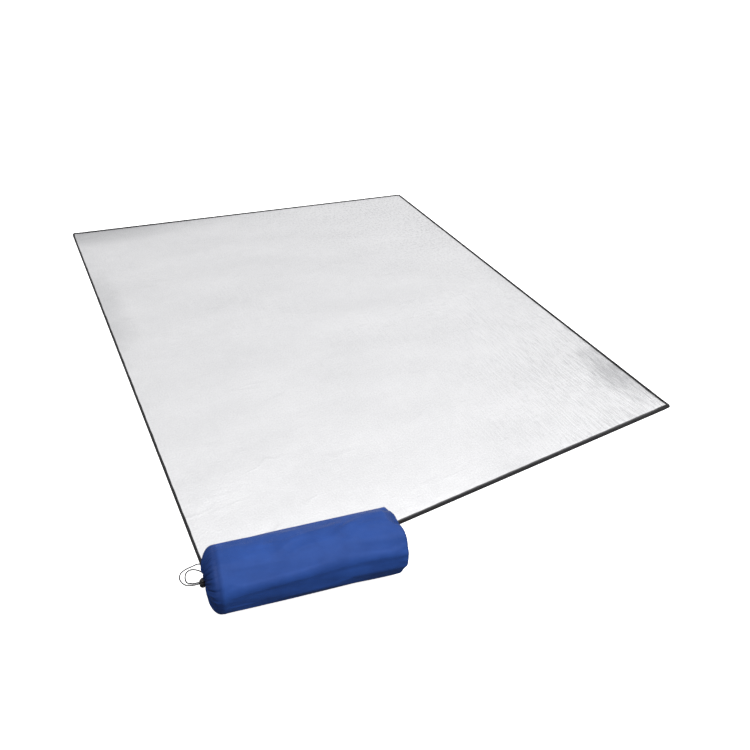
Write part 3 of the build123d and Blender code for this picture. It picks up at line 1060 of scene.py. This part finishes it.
def inflate(rings):
    """A short cloth run: the cloth, cut a little loose, under light pressure with its ends sewn."""
    coarse = rings[:, ::2]
    count, around = coarse.shape[:2]
    start = in_frame(coarse)
    thing = make_object("cloth_run", start.reshape(-1, 3), ring_faces(count, around))
    sewn = thing.vertex_groups.new(name="sewn")
    last = list(range((count - 2) * around, count * around))
    sewn.add(list(range(2 * around)) + last, 1.0, "ADD")
    cloth = thing.modifiers.new("Cloth", "CLOTH")
    for key, value in CLOTH_SETTINGS.items():
        setattr(cloth.settings, key, value)
    cloth.settings.effector_weights.gravity = 0.0
    cloth.collision_settings.use_self_collision = False
    cloth.point_cache.frame_start = 1
    cloth.point_cache.frame_end = CLOTH_FRAMES
    for number in range(1, CLOTH_FRAMES + 1):
        scene.frame_set(number)
    mesh = thing.evaluated_get(bpy.context.evaluated_depsgraph_get()).to_mesh()
    ended = np.zeros(len(mesh.vertices) * 3)
    mesh.vertices.foreach_get("co", ended)
    bpy.data.objects.remove(thing, do_unlink=True)
    scene.frame_set(1)

    moved = ended.reshape(start.shape) - start
    angles = coarse[..., 2:3]
    outward = np.cos(angles) * np.array(bag_side) + np.sin(angles) * np.array(bag_up)
    moved = np.stack([moved @ np.array(bag_axis), (moved * outward).sum(axis=2)], axis=2)
    # the swelling itself is taken off again, ring by ring
    moved[..., 1] -= moved[..., 1].mean(axis=1, keepdims=True)
    reach = np.linalg.norm(moved, axis=2, keepdims=True)
    moved *= CLOTH_CAP / (CLOTH_CAP + reach)
    fine = np.repeat(moved, 2, axis=1)
    fine[:, 1::2] = (moved + np.roll(moved, -1, axis=1)) / 2
    fine = (np.roll(fine, 1, axis=1) + 2 * fine + np.roll(fine, -1, axis=1)) / 4
    result = rings.copy()
    result[..., :2] += fine
    return clear_roll(result)


def in_frame(rings):
    """Bag coordinates (along, out, angle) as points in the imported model's frame."""
    along, out, angle = rings[..., 0:1], rings[..., 1:2], rings[..., 2:3]
    origin = np.array(MOUTH)
    return (
        origin
        + along * np.array(bag_axis)
        + out * np.cos(angle) * np.array(bag_side)
        + out * np.sin(angle) * np.array(bag_up)
    )


def settle(points):
    """The cloth doesn't go through the floor or the pad's corner."""
    over_pad = (points[..., 0] > -half_width - 0.002) & (points[..., 1] > -half_length - 0.002)
    lowest = np.where(over_pad, TAPE_TOP + CLEAR_OF_TAPE, CLEAR_OF_FLOOR)
    points[..., 2] = np.maximum(points[..., 2], lowest)
    return points


def add_flat_ring(thing, rings, around, cloth, girth):
    """Flat coordinates for a tube of rings, with the seam where the angle starts again."""
    layer = thing.data.uv_layers.new(name="UVMap")
    values = []
    for ring in range(rings - 1):
        for place in range(around):
            left, right = place / around * girth, (place + 1) / around * girth
            low, high = cloth[ring], cloth[ring + 1]
            values += [low, left, high, left, high, right, low, right]
    layer.data.foreach_set("uv", np.array(values, np.float32))


def thicken(thing, depth):
    modifier = thing.modifiers.new("cloth", "SOLIDIFY")
    modifier.thickness = depth
    modifier.offset = -1.0
    graph = bpy.context.evaluated_depsgraph_get()
    mesh = bpy.data.meshes.new_from_object(thing.evaluated_get(graph))
    thing.modifiers.clear()
    thing.data = mesh


def finish_bag_piece(thing, stands_for):
    finish_piece(thing, "bag_nylon", nylon)
    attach(thing, "carry_bag")
    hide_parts(stands_for)


def make_bag_tube():
    rings, cloth = bag_surface()
    rings = inflate(rings)
    points = settle(in_frame(rings))
    count = len(points)
    tube = make_object("bag_cloth", points.reshape(-1, 3), ring_faces(count, AROUND))
    add_flat_ring(tube, count, AROUND, cloth, math.tau * BAG_RADIUS)
    thicken(tube, CLOTH)
    finish_bag_piece(tube, "bag_tube")


def make_bag_base():
    """The round base panel, a little crowned by the roll behind it."""
    circles = 26
    angles = np.arange(AROUND) * math.tau / AROUND
    seam = base_seam(np.degrees(angles))[0]
    middle = BAG_LENGTH + BASE_CROWN
    rings = []
    for share in np.linspace(1.0, 0.02, circles):
        out = (SEAM_RADIUS + 0.0004) * share
        along = middle + (seam - 0.0007 - middle) * share**2.2
        along += 0.0005 * np.sin(5 * angles + 9 * share) * share
        along += 0.0005 * np.sin(23 * angles + 2.0 * np.sin(2 * angles)) * share**6
        rings.append(np.stack([along, np.full(AROUND, out), angles], axis=1))
    points = in_frame(np.array(rings)).reshape(-1, 3)
    faces = ring_faces(circles, AROUND)
    faces.append(tuple(range((circles - 1) * AROUND, circles * AROUND)))
    flat = np.array(rings).reshape(-1, 3)
    flat = np.stack(
        [BASE_PANEL_AT + flat[:, 1] * np.cos(flat[:, 2]), flat[:, 1] * np.sin(flat[:, 2])], axis=1
    )
    base = make_object("bag_base_panel", points, faces, flat)
    thicken(base, CLOTH)
    finish_bag_piece(base, "bag_base")


def make_mouth_hem():
    """The gathered hem tunnel round the drawn-in mouth."""
    around = 288
    section = 28
    angles = np.arange(around) * math.tau / around
    ridges = pleat(angles)
    rings = []
    for place in range(section):
        turn = math.tau * place / section
        radius = HEM_RADIUS + HEM_RIDGES * ridges * (0.6 + 0.4 * math.cos(turn))
        along = HEM_ALONG + radius * math.sin(turn)
        out = HEM_OUT + radius * math.cos(turn)
        rings.append(np.stack([along, out, angles], axis=1))
    points = in_frame(np.array(rings)).reshape(-1, 3)
    faces = ring_faces(section, around, flip=True, closed=True)
    flat = [
        (HEM_CUT * ring / section, HEM_GIRTH * place / around)
        for ring in range(section)
        for place in range(around)
    ]
    hem = make_object("bag_hem_ruffle", points, faces, flat)
    finish_bag_piece(hem, "bag_mouth_hem")


make_bag_tube()
make_bag_base()
make_mouth_hem()


# ---- the cord lock's spring ----
SPRING_TURNS = 2.5
SPRING_WIRE = 0.0003  # half its thickness


def make_lock_spring():
    """A coil of wire, as long and as wide as the CAD spring it stands for."""
    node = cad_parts["cord_lock_spring"]
    corners = [node.matrix_world @ vertex.co for vertex in node.data.vertices]
    low = np.array(corners).min(axis=0)
    high = np.array(corners).max(axis=0)
    middle = (low + high) / 2
    coil = (high[0] - low[0]) / 2 - SPRING_WIRE
    climb = high[2] - low[2] - 2 * SPRING_WIRE
    steps, sides = 80, 10
    points, flat = [], []
    for step in range(steps + 1):
        turn = math.tau * SPRING_TURNS * step / steps
        outward = Vector((math.cos(turn), math.sin(turn), 0))
        centre = Vector((middle[0], middle[1], low[2] + SPRING_WIRE + climb * step / steps))
        for side in range(sides):
            angle = math.tau * side / sides
            reach = coil + SPRING_WIRE * math.cos(angle)
            points.append(centre + outward * reach + Vector((0, 0, SPRING_WIRE * math.sin(angle))))
            flat.append((turn * coil, angle * SPRING_WIRE))
    faces = ring_faces(steps + 1, sides, caps=True)
    spring = make_object("lock_coil", points, faces, flat)
    finish_piece(spring, "spring_steel", steel)
    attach(spring, "cord_lock")
    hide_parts("cord_lock_spring")
    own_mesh(spring)


make_lock_spring()


# ---- CAD pieces that show as they are ----
CARRIED_OVER = {
    "cord_lock_body": plastic,
    "cord_lock_plunger": plastic,
    "drawcord_in_hem": braid,
    "packed_pad_foam": foam_packed,
    "packed_pad_foil": inner_foil,
}
for name, material in CARRIED_OVER.items():
    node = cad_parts[name]
    node.data.materials.clear()
    node.data.materials.append(material)
